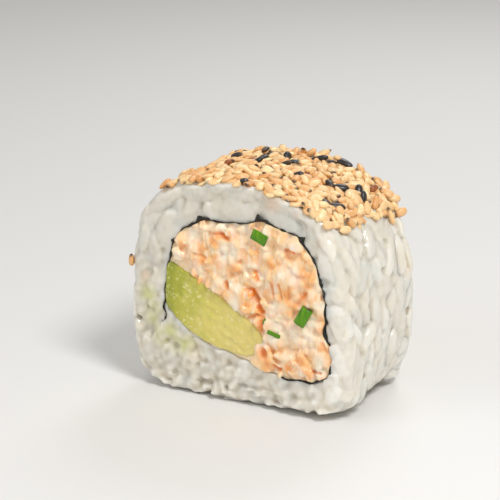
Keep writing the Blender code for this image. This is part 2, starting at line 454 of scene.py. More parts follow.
def ramp(tree, value, stops):
    """Colours at positions from 0 to 1."""
    node = add_node(tree, "ShaderNodeValToRGB", {"Fac": value})
    band = node.color_ramp
    while len(band.elements) < len(stops):
        band.elements.new(1.0)
    for element, (position, colour) in zip(band.elements, stops):
        element.position = position
        element.color = (*colour, 1.0)
    return node.outputs["Color"]


def mix(tree, share, first, second):
    """Colours mixed by a share. Each can be a socket or a colour."""
    node = add_node(tree, "ShaderNodeMix", data_type="RGBA")
    for socket, value in ((node.inputs[0], share), (node.inputs[6], first), (node.inputs[7], second)):
        if isinstance(value, bpy.types.NodeSocket):
            tree.links.new(value, socket)
        elif isinstance(value, tuple):
            socket.default_value = (*value, 1.0)
        else:
            socket.default_value = value
    return node.outputs[2]


def layered(tree, colour, *layers):
    """A colour with others laid over it in turn, each given as (share, colour)."""
    for share, over in layers:
        colour = mix(tree, share, colour, over)
    return colour


def scaled(tree, value, low, high, to_low=0.0, to_high=1.0):
    """The value's range from low to high, stretched to another range and clamped."""
    return add_node(tree, "ShaderNodeMapRange", {
        "Value": value, "From Min": low, "From Max": high, "To Min": to_low, "To Max": to_high,
    }).outputs["Result"]


def paint(tree, shader, colour, height, depth):
    """The shader's colour, and relief of the given depth in millimetres."""
    tree.links.new(colour, shader.inputs["Base Color"])
    bump = add_node(tree, "ShaderNodeBump", {"Height": height, "Distance": depth * MM, "Strength": 1})
    tree.links.new(bump.outputs["Normal"], shader.inputs["Normal"])


# --- materials


def rice_material():
    """Wet cooked rice: translucent, with painted shade between the grains and a painted highlight on the
    bumps.
    """
    made, tree, shader = material(
        "cooked_rice", Roughness=0.30, Subsurface_Weight=0.85,
        Subsurface_Radius=(1.0, 0.92, 0.82), Subsurface_Scale=2.4 * MM, Coat_Weight=0.7,
        Coat_Roughness=0.05, IOR=1.42,
    )
    # Painted shade: the hollow attribute darkens and warms the rice in the hollows between grains, and
    # whitens the bumps as a painted highlight
    body = ramp(tree, attribute(tree, "hollow"), [
        (0.2, linear(234, 229, 218)), (0.5, linear(224, 218, 204)), (0.85, linear(200, 190, 170)),
    ])
    tint = attribute(tree, "tint")
    # The seam layer is painted shade along the seams between grains
    colour = layered(
        tree, body, (scaled(tree, tint, 0.3, 1, 0, 0.4), linear(200, 199, 190)),
        (scaled(tree, tint, 0.0, 0.2, 0.6, 0), linear(243, 241, 234)),
        (scaled(tree, attribute(tree, "seam"), 0, 1, 0, 0.15), linear(198, 188, 168)),
        (scaled(tree, noise(tree, 0.22, 2), 0.48, 0.68, 0, 0.5), linear(207, 210, 205)),
        (scaled(tree, noise(tree, 0.16, 2), 0.5, 0.7, 0, 0.45), linear(226, 214, 194)),
        (attribute(tree, "smear"), linear(203, 206, 122)),
        (attribute(tree, "stain"), linear(222, 180, 142)),
    )
    paint(tree, shader, colour, noise(tree, 1.3, 6), 0.09)
    return made


def seed_material(name, pale, dark, toasted, tip, roughness):
    """Sesame: each seed has its own tint, fine skin and a dark point at its tip."""
    made, tree, shader = material(
        name, Roughness=roughness, Subsurface_Weight=0.2,
        Subsurface_Radius=(1.0, 0.6, 0.3), Subsurface_Scale=0.5 * MM, Coat_Weight=0.15,
        Coat_Roughness=0.25,
    )
    tint = attribute(tree, "tint")
    colour = layered(
        tree, pale, (tint, dark), (scaled(tree, tint, 1.0, 1.5), toasted),
        (scaled(tree, noise(tree, 0.9, 3), 0.45, 0.75, 0, 0.5), dark), (attribute(tree, "tip"), tip),
    )
    paint(tree, shader, colour, noise(tree, 3.0, 2), 0.03)
    return made


def salmon_material():
    """Chopped salmon in mayonnaise: orange flesh with pale fibres, cream where the sauce lies."""
    made, tree, shader = material(
        "chopped_salmon", Roughness=0.26, Subsurface_Weight=0.5,
        Subsurface_Radius=(1.0, 0.55, 0.32), Subsurface_Scale=1.2 * MM, Coat_Weight=0.7,
        Coat_Roughness=0.08, IOR=1.42,
    )
    flesh = ramp(tree, attribute(tree, "tint"), [
        (0.0, linear(255, 217, 172)), (0.45, linear(255, 198, 135)), (1.0, linear(255, 166, 86)),
    ])
    fibres = noise(tree, 0.5, 3, 2.0, (1.6, 1.0, 0.6))
    # The hollow and cleft layers paint the dents deeper orange: partly the flesh's own colour, partly
    # painted shade
    colour = layered(
        tree, flesh, (scaled(tree, fibres, 0.52, 0.64, 0, 0.7), linear(255, 234, 208)),
        (scaled(tree, noise(tree, 0.35, 2), 0.55, 0.72, 0, 0.5), linear(242, 178, 138)),
        (attribute(tree, "sauce"), linear(255, 236, 214)),
        (scaled(tree, attribute(tree, "hollow"), 0.55, 0.95, 0, 0.6), linear(248, 172, 106)),
        (attribute(tree, "cleft"), linear(246, 150, 68)),
    )
    paint(tree, shader, colour, noise(tree, 1.4, 4, 0.6), 0.10)
    return made


def avocado_material():
    """Avocado flesh: green by the skin, pale yellow towards the stone, grained along the wedge."""
    made, tree, shader = material(
        "avocado_flesh", Roughness=0.38, Subsurface_Weight=0.35,
        Subsurface_Radius=(0.9, 1.0, 0.3), Subsurface_Scale=1.0 * MM, Coat_Weight=0.3,
        Coat_Roughness=0.18, IOR=1.42,
    )
    body = ramp(tree, attribute(tree, "ripe"), [
        (0.0, linear(148, 154, 34)), (0.25, linear(184, 182, 64)), (0.55, linear(220, 206, 112)),
        (1.0, linear(228, 208, 126)),
    ])
    streaks = noise(tree, 0.45, 3, 0.5, (0.3, 1.0, 1.0), AVOCADO_SLANT)
    colour = layered(
        tree, body, (scaled(tree, streaks, 0.45, 0.7, 0, 0.4), linear(200, 196, 80)),
        (scaled(tree, noise(tree, 0.5, 2), 0.55, 0.75, 0, 0.4), linear(232, 220, 140)),
        (scaled(tree, noise(tree, 1.3, 2), 0.60, 0.70, 0, 0.55), linear(240, 234, 176)),
    )
    paint(tree, shader, colour, noise(tree, 1.5, 3), 0.06)
    return made


def nori_material():
    """Dark seaweed with a faint green-brown grain and a dull shine."""
    made, tree, shader = material("nori_sheet", Roughness=0.5, IOR=1.45)
    grain = noise(tree, 1.2, 4)
    colour = ramp(tree, grain, [(0.3, linear(16, 15, 11)), (0.75, linear(40, 38, 28))])
    paint(tree, shader, colour, grain, 0.12)
    return made


def chive_material():
    """Bright green chive with fine veins along it."""
    made, tree, shader = material(
        "cut_chive", Roughness=0.35, Subsurface_Weight=0.1,
        Subsurface_Radius=(0.5, 1.0, 0.1), Subsurface_Scale=0.3 * MM, Coat_Weight=0.3,
        Coat_Roughness=0.06, Specular_IOR_Level=0.25,
    )
    veins = noise(tree, 1.4, 3, 0.3, (1.0, 1.0, 0.25))
    colour = ramp(tree, veins, [(0.3, linear(52, 112, 0)), (0.7, linear(104, 156, 4))])
    paint(tree, shader, colour, veins, 0.06)
    return made


# --- rice

# Large grains that lie in the shown face, as the (x, z) of both ends and the width
FACE_GRAINS = (
    (-10.8, 37.6, -4.0, 39.0, 3.0), (-17.4, 34.3, -12.9, 36.9, 2.7), (-6.2, 36.2, -4.4, 34.6, 2.7),
    (-3.2, 35.9, 3.6, 36.2, 2.8), (-2.6, 39.6, 4.2, 39.8, 3.0), (5.2, 39.6, 11.2, 37.8, 3.0),
    (6.4, 36.8, 12.6, 34.9, 2.9), (17.3, 31.5, 19.4, 26.2, 2.4), (-20.4, 31.8, -17.9, 30.4, 2.4),
    (-20.9, 25.8, -20.4, 20.6, 2.8), (-20.9, 17.2, -20.2, 13.4, 2.8), (-17.8, 28.6, -16.8, 23.6, 2.7),
)


def rice_core():
    """The CAD rice, drawn in from its outer skin and cut faces, but with a lip along the nori."""
    verts, _, faces = read_mesh(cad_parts["rice"].data)
    flat = verts[:, [0, 2]]
    wall = (depth_inside(flat, FILLING) > -1.2) | (line_distance(flat, NORI_LINE) < 1.2)
    centre = np.array([0, AXIS_HEIGHT])
    drawn_in = centre + (flat - centre) * (1 - CORE_DEPTH / AXIS_HEIGHT)
    verts[:, [0, 2]] = np.where(wall[:, None], flat, drawn_in)
    verts[:, 1] *= 1 - np.where(wall, LIP_DEPTH, CORE_DEPTH) / CUT
    return verts, faces


def grain_sizes(rng, count):
    return np.array(GRAIN_SIZE) * rng.normal(1, 0.08, (count, 3))


def half_reach(sizes, tilt):
    """How far grains reach on both sides of their middle when they are tilted out of the skin."""
    return np.hypot(sizes[:, 0] / 2 * np.sin(tilt), sizes[:, 2] / 2 * np.cos(tilt))


def edge_inset(y):
    """How far the outline draws in near the cut faces, on a rounded edge."""
    past = np.clip(np.abs(y) - (CUT - CUT_EDGE_RADIUS), 0, CUT_EDGE_RADIUS)
    return CUT_EDGE_RADIUS - np.sqrt(CUT_EDGE_RADIUS ** 2 - past ** 2)


def on_side(spots):
    """For (way, y, turn) spots: points on the outline, the way up there, and the grain's way."""
    place, normal = on_outline(spots[:, 0])
    level = np.zeros(len(spots))
    point = np.stack([place[:, 0], spots[:, 1], place[:, 1]], 1)
    up = np.stack([normal[:, 0], level, normal[:, 1]], 1)
    round_it = np.stack([-normal[:, 1], level, normal[:, 0]], 1)
    turn = spots[:, 2, None]
    return point, up, round_it * np.cos(turn) + np.array([0, 1, 0]) * np.sin(turn)


# Grains that stand out by the cut edges and low down, as (degrees round the axis, y, turn in degrees)
RIM_GRAINS = (
    (195, -11.8, 8), (207, -11.4, 35), (168, -11.6, -6), (152, -11.4, 12), (338, 12.0, -15),
    (352, 11.6, 5), (12, 11.8, -8), (28, 11.9, 12), (42, 11.6, -10), (326, -3.0, -20), (222, -11.0, 40),
)


def side_grains(rng):
    """Grains round the outside. Most lie round the roll, pressed a little into one another."""
    def draw(rng):
        return rng.uniform(0, GIRTH), rng.uniform(-CUT, CUT), rng.normal(0, 0.6)

    rim = [(way_of(degrees), y, math.radians(turn)) for degrees, y, turn in RIM_GRAINS]
    spots = np.vstack([rim, spread(rng, draw, SIDE_LIMIT, SIDE_SPACING, wrap=GIRTH, first=rim)])
    count = len(spots)
    point, up, flat = on_side(spots)
    pitch = rng.normal(0, 0.12, count)[:, None]
    along = flat * np.cos(pitch) + up * np.sin(pitch)
    sizes = grain_sizes(rng, count)
    depth = half_reach(sizes, pitch[:, 0]) + rng.uniform(-0.5, 0.6, count) + 0.8 * edge_inset(spots[:, 1])
    depth -= np.where(rng.uniform(size=count) < 0.08, 0.4, 0)
    depth[:len(rim)] = half_reach(sizes, pitch[:, 0])[:len(rim)] - 0.9
    return sizes, rng.normal(0, 0.04, count), frames_on(up, along), point - up * depth[:, None]


# The filling's outline without the strip under the avocado, where the rice closes over the nori
KEPT_OPEN = np.vstack([FILLING[:15 * NORI_STEPS], [(5.0, 9.0)], AVOCADO[:4 * AVOCADO_STEPS][::-1]])
RIM = roll_outline(np.linspace(0, 2 * np.pi, 120, endpoint=False))


def fits_in_face(x, z, turn, half_length, half_width):
    """Whether a grain in a cut face keeps inside the rim, out of the filling and off the nori."""
    steps = np.linspace(-1, 1, 5) * (half_length - half_width * 0.8)
    spine = np.stack([x + steps * np.cos(turn), z + steps * np.sin(turn)], 1)
    if inside(spine, KEPT_OPEN).any() or inside(spine, AVOCADO).any():
        return False
    if depth_inside(spine, RIM).min() < 0.7 * half_width:
        return False
    return line_distance(spine, SHOWING_NORI).min() > half_width - 0.3


def face_grains(rng, side):
    """Grains that lie in a cut face, side -1 for the shown one and 1 for the other."""
    length, width = GRAIN_SIZE[:2]

    def draw(rng):
        x, z = rng.uniform(-WIDTH / 2, WIDTH / 2), rng.uniform(0.8, HEIGHT)
        round_it = math.atan2(x, AXIS_HEIGHT - z)
        turn = round_it + rng.normal(0, 0.6) if rng.uniform() < 0.6 else rng.uniform(0, math.pi)
        return (x, z, turn) if fits_in_face(x, z, turn, 0.45 * length, width / 2) else None

    large = np.array(FACE_GRAINS if side < 0 else FACE_GRAINS[:0]).reshape(-1, 5)
    step = large[:, 2:4] - large[:, :2]
    first = [(*p, math.atan2(s[1], s[0])) for p, s in zip((large[:, :2] + large[:, 2:4]) / 2, step)]
    spots = spread(rng, draw, FACE_LIMIT, FACE_SPACING, first=first)
    count = len(spots)
    tilt = rng.normal(0, 0.12, count)
    on_end = rng.uniform(size=count) < 0.12
    tilt[on_end] = rng.uniform(0.7, 1.3, on_end.sum())
    sizes = grain_sizes(rng, count)
    depth = half_reach(sizes, tilt) + rng.uniform(-0.4, 0.5, count) + 0.25 * (spots[:, 1] > 31)
    if first:
        spots = np.vstack([first, spots])
        tilt = np.concatenate([np.zeros(len(first)), tilt])
        reach = np.linalg.norm(step, axis=1)
        sizes = np.vstack([np.stack([reach + 0.8, large[:, 4], large[:, 4] * 0.8], 1), sizes])
        depth = np.concatenate([sizes[:len(first), 2] / 2 - 0.45, depth])
    count = len(spots)
    turn = spots[:, 2]
    flat = np.stack([np.cos(turn), np.zeros(count), np.sin(turn)], 1)
    up = np.tile([0.0, side, 0.0], (count, 1))
    along = flat * np.cos(tilt)[:, None] + up * np.sin(tilt)[:, None]
    centre = np.stack([spots[:, 0], side * (CUT - depth), spots[:, 1]], 1)
    return sizes, rng.normal(0, 0.035, count), frames_on(up, along), centre


def stand_out(flat, places, normals):
    """How far each (x, z) point stands out of a line of places, and the line's normal there."""
    far, way = [], []
    for some in np.array_split(flat, len(flat) // 20000 + 1):
        near = ((some[:, None] - places) ** 2).sum(2).argmin(1)
        far.append(((some - places[near]) * normals[near]).sum(1))
        way.append(normals[near])
    return np.concatenate(far), np.concatenate(way)


def pressed_in(verts):
    """Vertices drawn back where they stand out of the roll's form, whose cut edges are round."""
    far, way = stand_out(verts[:, [0, 2]], *on_outline(np.arange(0, GIRTH, 0.6)))
    side = np.maximum(far + CUT_EDGE_RADIUS, 0)
    face = np.maximum(np.abs(verts[:, 1]) - CUT + CUT_EDGE_RADIUS, 0)
    reach = np.maximum(np.hypot(side, face), 0.1)
    over = reach - CUT_EDGE_RADIUS
    limit = FACE_STAND + (SIDE_STAND - FACE_STAND) * side / reach
    back = (soft_limit(over, -0.6, limit) - over) / reach
    moved = verts.copy()
    moved[:, [0, 2]] += way * (side * back)[:, None]
    moved[:, 1] += np.sign(verts[:, 1]) * face * back
    return moved


def closed_up(verts):
    """Rice drawn up to the nori where a gap was left beside it."""
    flat = verts[:, [0, 2]]
    away = line_distance(flat, NORI_LINE)
    far, way = stand_out(flat, NORI_FINE, outward(NORI_FINE))
    shift = np.minimum(0.6 * np.clip(1 - away / 1.6, 0, 1), np.maximum(away - 0.1, 0))
    moved = verts.copy()
    moved[:, [0, 2]] -= way * (np.sign(far) * shift)[:, None]
    return moved


# Where the whole mass sags or draws in: middle, half sizes and the way it moves
SAGS = (
    ((22, -8, 2.6), (10, 5.0, 3.2), (2.2, 0, -0.2)), ((18, 12, 31), (7, 7, 8), (-0.9, 0, -0.5)),
    ((8, -13, 0), (9, 3.5, 3), (0, 0.3, 0.9)), ((-22, -12, 27), (4, 5, 3.5), (0.7, 0, 0)),
)


# Places of the shown face smeared by the avocado or stained, as (x, z, radius)
AVOCADO_SMEARS = (
    (-18.6, 17.6, 1.8), (-16.6, 12.8, 2.6), (-14.4, 10.4, 2.8), (-10.8, 9.4, 2.0), (-17.6, 15.2, 1.8),
)
STAINS = (
    (-20.2, 6.6, 1.4), (-17.5, 4.8, 1.1), (-19.2, 21.0, 0.8), (-0.8, 8.6, 0.9), (7.6, 38.6, 1.8),
    (13.0, 36.6, 1.6), (16.6, 33.6, 1.4),
)


def sagged(verts):
    """Vertices moved by all the sags."""
    for middle, halves, move in SAGS:
        share = np.exp(-(((verts - middle) / halves) ** 2).sum(1))
        verts = verts + share[:, None] * move
    return verts


def seed_bed(verts):
    """From 0 to 1, how far a place of the rice is under the sesame."""
    angle = np.degrees(np.arctan2(verts[:, 2] - AXIS_HEIGHT, verts[:, 0]))
    within = np.minimum(angle - 42, 124 - angle)
    return np.clip(within / 14, 0, 1) * np.clip((CUT - np.abs(verts[:, 1])) / 2.5, 0, 1)


def spots_on_face(verts, spots):
    """From 0 to 1, how near a vertex of the shown face is to any of the (x, z, radius) spots."""
    share = np.zeros(len(verts))
    for x, z, radius in spots:
        far = np.hypot(verts[:, 0] - x, verts[:, 2] - z) / radius
        share = np.maximum(share, np.exp(-far ** 2) * (verts[:, 1] < 0))
    return share


def nearest_two(verts, spines):
    """For each vertex: which spine is nearest, and how near the second nearest is to being it,
    from 0 deep inside one spine's ground to 1 on the seam with the next."""
    tree = KDTree(sum(len(spine) for spine in spines))
    owners = []
    for i, spine in enumerate(spines):
        for point in spine:
            tree.insert(point, len(owners))
            owners.append(i)
    tree.balance()
    own, seam = np.zeros(len(verts), int), np.zeros(len(verts))
    for i, vert in enumerate(verts):
        near = tree.find_n(vert, 6)
        own[i] = owners[near[0][1]]
        other = next((n[2] for n in near if owners[n[1]] != own[i]), 9.0)
        seam[i] = near[0][2] / other
    return own, seam


def grain_spines(layer):
    """Five points along the middle of each grain of a layer."""
    sizes, _, frames, places = layer
    steps = np.linspace(-0.36, 0.36, 5)
    along = frames[:, :, 0] * sizes[:, :1]
    return places[:, None] + along[:, None] * steps[None, :, None]


def make_rice(shader):
    """The sticky mass: grains melted together over a core, cut and pressed into shape."""
    rng = np.random.default_rng(11)
    form = grain_form(9, 12)
    layers = [side_grains(rng), face_grains(rng, -1), face_grains(rng, 1)]
    parts = [rice_core()] + [scattered(form, *layer) for layer in layers]
    spines = np.concatenate([grain_spines(layer) for layer in layers])

    def hidden(verts):
        near = line_distance(verts[:, [0, 2]], NORI_LINE) < 0.9
        inner = near & (np.abs(verts[:, 1]) < CUT - 3.5)
        return inner | (verts[:, 2] < 0.1) | (seed_bed(verts) > 0.95)

    verts, edges, faces = fused(parts, RICE_VOXEL, hidden)
    own, seam = nearest_two(verts, spines)
    # Smoothest at the top of the shown face
    smooth_top = np.clip((verts[:, 2] - 29) / 6, 0, 1)
    smooth_top *= np.clip((-verts[:, 1] - CUT + 3) / 1.5, 0, 1)
    loose = relaxed(verts, edges, 2)
    verts = loose + (relaxed(loose, edges, 8) - loose) * (0.12 + 0.35 * smooth_top)[:, None]
    verts = sagged(pressed_in(verts))
    # Roughest in the rest of that face, which below also gets painted shade on its left and painted light
    # on its right
    cut_rough = np.clip((-verts[:, 1] - CUT + 2.5) / 1.5, 0, 1) * np.clip((30 - verts[:, 2]) / 6, 0, 1)
    fine = 0.10 * wobble(verts, 0.8, 51, 12) + 0.08 * wobble(verts, 1.3, 52, 12)
    verts += vertex_normals(verts, faces) * (fine * (0.3 + 0.5 * cut_rough))[:, None]
    verts = closed_up(verts)
    # The shown face falls back towards its right edge, and its foot is uneven
    shown = np.clip((-verts[:, 1] - CUT + 4) / 3, 0, 1)
    verts[:, 1] += 0.045 * np.clip(verts[:, 0] - 17, 0, 6) ** 2 * shown
    verts[:, 1] += 0.45 * wobble(verts, 1.5, 71) * shown * np.clip((6 - verts[:, 2]) / 4, 0, 1)
    out = verts[:, [0, 2]] - np.array([0, AXIS_HEIGHT])
    out /= np.linalg.norm(out, axis=1, keepdims=True)
    verts[:, [0, 2]] -= out * (SEED_BED_DEPTH * seed_bed(verts))[:, None]
    verts[:, 2] = np.maximum(verts[:, 2], 0)
    smear, stain = spots_on_face(verts, AVOCADO_SMEARS), spots_on_face(verts, STAINS)
    patchy = np.clip(0.6 + 0.6 * wobble(verts, 1.6, 3), 0, 1)
    # Painted side light: the rough face painted darker on its left and lighter on its right, as if lit
    # from the right
    leftward, rightward = np.clip([(12 - verts[:, 0]) / 6, (verts[:, 0] - 12) / 5], 0, 1)
    painted_side_light = cut_rough * (0.14 * leftward - 0.25 * rightward)
    # hollow carries painted shade between the grains, a painted highlight on the bumps and the painted
    # side light
    return mesh_object(
        "rice_mass", verts, faces, shader,
        hollow=hollows(verts, edges, faces, 14, 0.3) + painted_side_light,
        tint=rng.uniform(size=len(spines))[own], seam=np.clip((seam - 0.86) / 0.13, 0, 1),
        smear=0.7 * smear * patchy, stain=0.45 * stain * patchy,
    )


def surface_of(piece):
    """A tree for finding the piece's surface, in millimetres."""
    verts, _, faces = read_mesh(piece.data)
    return BVHTree.FromPolygons(verts.tolist(), faces)


def lay_on(rng, skin, point, up, flat, sizes, lift, tilt):
    """Bends, frames and places that lay things on the skin under their points, up to a tilt."""
    count = len(point)
    start = point + up * 10
    found = [skin.ray_cast(Vector(s), Vector(-u))[0] for s, u in zip(start, up)]
    landed = np.array([f if f is not None else s for f, s in zip(found, point)])
    leaning = up + rng.normal(0, tilt, (count, 3))
    leaning /= np.linalg.norm(leaning, axis=1, keepdims=True)
    along = flat - leaning * (flat * leaning).sum(1)[:, None]
    return sizes, np.zeros(count), frames_on(leaning, along), landed + up * lift


def make_loose_grains(shader, skin):
    """Whole grains on the left and the rear of the mass, half sunk in it."""
    rng = np.random.default_rng(31)

    def draw(rng):
        way, y = rng.uniform(0, GIRTH), rng.uniform(-CUT + 1.5, CUT - 0.8)
        x, z = on_outline(way)[0]
        hidden_side = x < 0 or y > 4
        return (way, y, rng.normal(0, 0.8)) if hidden_side and 1.5 < z < 30 else None

    spots = spread(rng, draw, 22, (7.0, 5.0), wrap=GIRTH)
    sizes = grain_sizes(rng, len(spots))
    lift = rng.uniform(-0.8, -0.4, len(spots))[:, None]
    sizes, bends, frames, places = lay_on(rng, skin, *on_side(spots), sizes, lift, 0.08)
    form = grain_form(12, 16)
    verts, faces = scattered(form, sizes, bends, frames, places)
    verts += 0.10 * np.stack([wobble(verts, 1.6, seed) for seed in (61, 62, 63)], 1)
    verts[:, 2] = np.maximum(verts[:, 2], 0.02)
    tint = np.repeat(rng.uniform(0.1, 0.7, len(sizes)), len(form[0]))
    return mesh_object("rice_grains", verts, faces, shader, hollow=np.full(len(verts), 0.4), tint=tint)


# --- sesame

SEED_SIZE = (2.85, 1.8, 1.2)  # length, width, thickness
LOWER_SEEDS = (460, (1.5, 1.15))  # the most seeds, and the least distances along and across them
UPPER_SEEDS = (260, (2.0, 1.6))
TOASTED_SHARE, TIPPED_SHARE = 0.012, 0.5

# Where black seeds lie, as (degrees round the axis, y, turn in degrees)
BLACK_SEEDS = (
    (125, -2.0, 90), (87, -11.5, 50), (103, 2.5, 136), (106, 6.0, 96), (105, 9.5, 105), (95, 8.0, 29),
    (89, 4.0, 17), (88, 6.5, 132), (75, -1.0, 171), (79, 9.5, 170), (72, 10.5, 173), (67, 11.5, 1),
    (59, 1.0, 41), (54, 1.5, 141), (50, -5.5, 50), (46, -4.5, 136), (43, 2.5, 10), (48, 4.5, 39),
    (118, 5.0, 20), (112, 11.0, 70), (122, 9.0, 140),
)
# Tan seeds that stuck apart from the others, in the same way
STRAY_SEEDS = ((173.5, -12.2, 10), (127, -12.3, 80), (131, -11.6, 150), (35, -7.6, 100), (36, -2.5, 85))


def seed_edge(y):
    """The first and last degree of the sesame patch at a place along the roll."""
    return 41 - 0.28 * (y + CUT) + 1.5 * np.sin(y / 2.4), 124 + 0.25 * (y + CUT)


def make_seeds(skin, shaders):
    rng = np.random.default_rng(5)

    def draw(rng):
        y = rng.uniform(-CUT + 0.7, CUT - 0.7)
        low, high = seed_edge(y)
        degrees = rng.uniform(low - 3, high + 3)
        inner = min(degrees - low, high - degrees)
        if rng.uniform() > np.clip((inner + 3) / 14, 0.03, 1):
            return None
        return way_of(degrees), y, rng.uniform(0, 2 * math.pi)

    first = [(way_of(degrees), y, math.radians(turn))
             for degrees, y, turn in BLACK_SEEDS + STRAY_SEEDS]
    lower = spread(rng, draw, *LOWER_SEEDS)
    upper = np.vstack([first, spread(rng, draw, *UPPER_SEEDS, first=first)])
    layers = []
    for spots, lift, tilt in ((lower, 0.15, 0.22), (upper, 0.62, 0.28)):
        sizes = np.array(SEED_SIZE) * rng.normal(1, 0.08, (len(spots), 3))
        layers.append(lay_on(rng, skin, *on_side(spots), sizes, lift, tilt))
    sizes, bends, frames, places = (np.concatenate(parts) for parts in zip(*layers))
    count = len(places)
    black = np.zeros(count, bool)
    black[len(lower):len(lower) + len(BLACK_SEEDS)] = True
    sizes[black] *= 1.04
    form = seed_form(8, 12)
    pieces = []
    for name, chosen, shader in (("sesame", ~black, shaders[0]), ("black_sesame", black, shaders[1])):
        verts, faces = scattered(form, sizes[chosen], bends[chosen], frames[chosen], places[chosen])
        seeds, corners = int(chosen.sum()), len(form[0])
        tint = np.clip(rng.beta(1.1, 2.4, seeds), 0, 1)
        tint = np.where(rng.uniform(size=seeds) < TOASTED_SHARE, 1.6, tint)
        tipped = np.repeat(rng.uniform(size=seeds) < TIPPED_SHARE, corners)
        tip = np.clip((-0.34 - np.tile(form[0][:, 0], seeds)) / 0.06, 0, 1) * tipped
        pieces.append(mesh_object(name, verts, faces, shader, tint=np.repeat(tint, corners), tip=tip))
    return pieces


# --- filling

# Lobes of the chopped salmon in both cut faces: (x, z, radius, how far it stands out)
LOBES = (
    (-8.0, 28.5, 4.2, 0.3), (-1.5, 30.2, 3.6, 0.2), (-3.0, 25.2, 3.8, 0.6), (1.2, 20.6, 3.0, 0.8),
    (9.4, 23.4, 4.8, 1.1), (8.8, 28.0, 3.4, 0.5), (10.8, 31.0, 2.6, 0.2), (14.8, 26.0, 2.9, 0.3),
    (5.6, 10.9, 2.6, 0.8), (12.4, 9.6, 3.6, 0.7), (16.6, 11.4, 2.8, 0.7), (12.4, 16.2, 4.2, 0.2),
    (3.6, 29.0, 3.0, 0.3), (16.6, 20.0, 2.2, 0.4),
)

# Clefts between lumps in the shown face: the (x, z) of both ends, the half width and the depth
CLEFTS = (
    (-4.8, 31.4, -2.9, 31.2, 0.5, 0.4), (-2.7, 31.3, -1.4, 30.8, 0.4, 0.7),
    (10.3, 30.4, 12.0, 30.3, 0.35, 0.6), (-1.9, 22.6, -1.5, 21.7, 0.35, 0.5),
    (4.0, 25.4, 4.7, 24.2, 0.35, 0.5), (3.2, 22.0, 5.4, 18.4, 0.55, 0.9),
    (2.8, 16.8, 4.3, 17.7, 0.3, 0.5), (4.4, 17.7, 6.0, 17.3, 0.3, 0.5),
    (5.5, 16.6, 5.4, 14.9, 0.45, 0.8), (12.9, 21.2, 14.6, 23.4, 0.5, 0.5),
    (5.9, 11.2, 6.0, 10.3, 0.6, 0.9), (8.2, 8.9, 9.1, 8.2, 0.4, 0.8), (15.9, 9.2, 17.6, 9.3, 0.2, 0.5),
    (17.9, 14.8, 18.8, 13.4, 0.4, 0.4), (-8.2, 27.0, -5.6, 26.4, 0.3, 0.3),
    (7.6, 24.0, 8.2, 21.4, 0.25, 0.4), (9.4, 24.2, 9.8, 21.6, 0.2, 0.35),
    (11.4, 24.2, 11.2, 21.8, 0.2, 0.35),
)

# Creamy and deep orange places in the shown face, as (x, z, radius)
CREAM = (
    (-8.6, 30.6, 1.8), (-0.1, 28.5, 1.8), (2.4, 33.0, 1.6), (5.5, 24.9, 0.8), (6.6, 23.6, 0.8),
    (-0.8, 22.6, 0.9), (0.5, 21.7, 0.9), (12.3, 25.6, 1.0), (17.6, 11.6, 1.4), (13.7, 8.6, 0.9),
    (11.9, 31.2, 1.3), (17.4, 21.4, 1.4), (9.0, 16.6, 2.2), (12.0, 15.6, 2.6), (15.0, 15.6, 2.4),
    (7.6, 13.8, 1.4), (-2.4, 32.6, 1.4), (-11.6, 26.0, 1.4), (8.4, 19.6, 1.0), (15.6, 18.0, 1.6),
)
ORANGE = (
    (-4.2, 29.9, 1.3), (-3.2, 31.2, 0.9), (3.2, 21.6, 1.3), (5.0, 18.8, 0.9), (4.3, 24.9, 0.8),
    (-1.7, 22.1, 0.7), (5.9, 10.9, 1.0), (7.0, 9.2, 1.2), (11.0, 9.0, 1.3), (13.5, 11.0, 1.5),
    (17.6, 13.9, 1.0), (8.8, 24.2, 1.2), (10.6, 22.4, 1.3), (7.6, 27.4, 1.3), (13.8, 23.0, 1.1),
    (-6.6, 25.8, 1.2), (0.2, 25.4, 1.3), (2.3, 19.0, 1.0), (10.9, 29.6, 1.0), (-10.6, 28.4, 0.9),
)


def lump_places(rng):
    """Middles and half sizes of the salmon's lumps in both cut faces."""
    spots, radii = [], []
    for side in (-1, 1):
        for x, z, radius, stand in LOBES:
            spots.append((x, side * (CUT - 0.4 + stand * 0.9 - radius * 0.5), z))
            radii.append((radius * 1.05, radius * 0.9, radius * 0.5))
        for low, high, tries, lift in ((1.2, 2.1, 170, 0.35), (0.5, 1.0, 480, 0.45)):
            places = np.stack([rng.uniform(-15, 20, tries), rng.uniform(6.5, 35, tries)], 1)
            halves = rng.uniform(low, high, tries)
            clear = depth_inside(places, FILLING) > halves * 0.2
            clear &= depth_inside(places, AVOCADO) < -halves * 0.6
            for (x, z), size in zip(places[clear], halves[clear]):
                spots.append((x, side * (CUT + rng.uniform(-0.45, lift) - size * 0.5), z))
                radii.append((size * rng.uniform(1.0, 1.5), size * rng.uniform(0.75, 1.0), size * 0.6))
    return np.array(spots), np.array(radii)


